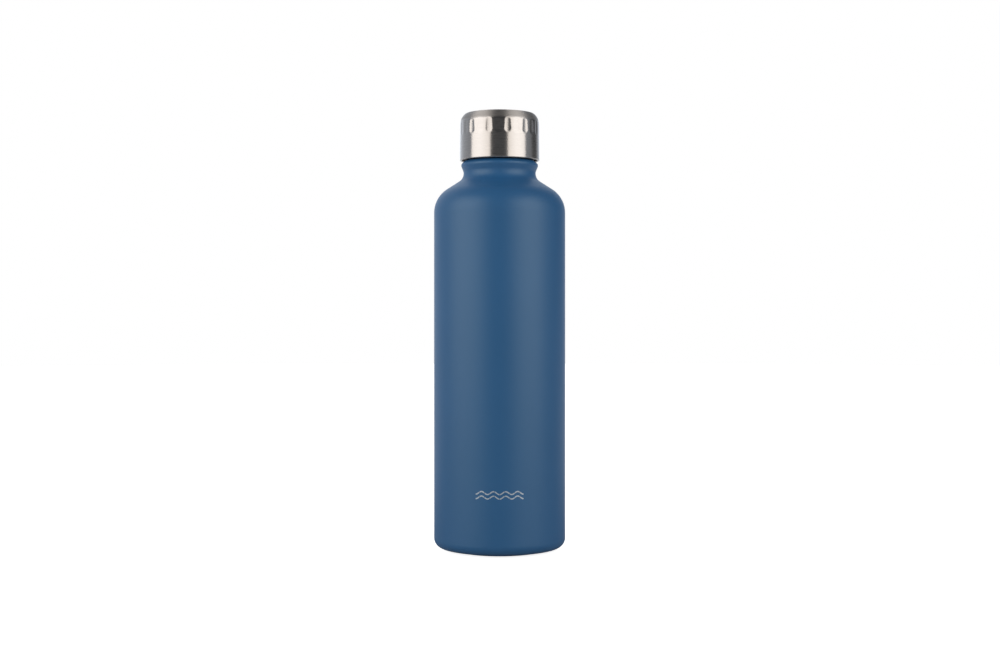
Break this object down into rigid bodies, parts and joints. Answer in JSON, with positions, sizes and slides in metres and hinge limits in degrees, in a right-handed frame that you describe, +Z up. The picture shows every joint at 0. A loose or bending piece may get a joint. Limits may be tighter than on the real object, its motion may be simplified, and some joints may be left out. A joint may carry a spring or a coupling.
{
  "type": "insulated water bottle",
  "caption": "Slim double-walled steel water bottle with a matte blue side, a narrow beaded neck and a fluted steel screw cap.",
  "frame": {"origin": "centre of the standing ring, on the surface the bottle stands on", "axes": "+Z up the bottle's axis towards the cap, -Y the front with the etched mark, +X the right seen from the front"},
  "size_m": [0.07, 0.07, 0.2325],
  "materials": {
    "powder_coat": "matte",
    "vessel_steel": "satin",
    "base_steel": "satin",
    "cap_steel": "brushed",
    "foil": "bright",
    "solder_glass": "gloss",
    "getter_alloy": "matte",
    "black_polymer": "satin",
    "white_foam": "matte",
    "silicone": "satin"
  },
  "bodies": {
    "bottle": {"outer_wall": "powder_coat", "outer_base": "base_steel", "seal_pellet": "solder_glass", "base_cover": "base_steel", "getter_tray": "base_steel", "getter_pellet": "getter_alloy", "inner_base": "vessel_steel", "inner_wall": "vessel_steel", "radiation_foil": "foil"},
    "gasket": {"lip_gasket": "silicone"},
    "cap": {"cap_shell": "cap_steel", "cap_liner": "black_polymer", "plug_cup": "black_polymer", "plug_foam": "white_foam"}
  },
  "joints": [
    {"name": "cap_rise", "type": "slide", "parent": "bottle", "child": "gasket", "axis": [0, 0, 1], "range_m": [0, 0.036]},
    {"name": "cap_turn", "type": "hinge", "parent": "gasket", "child": "cap", "pos_m": [0, 0, 0.2195], "axis": [0, 0, 1], "range_deg": [0, 1440]}
  ],
  "couplings": [
    {"joint": "cap_rise", "follows": "cap_turn", "m_per_rad": 0.0014324}
  ]
}
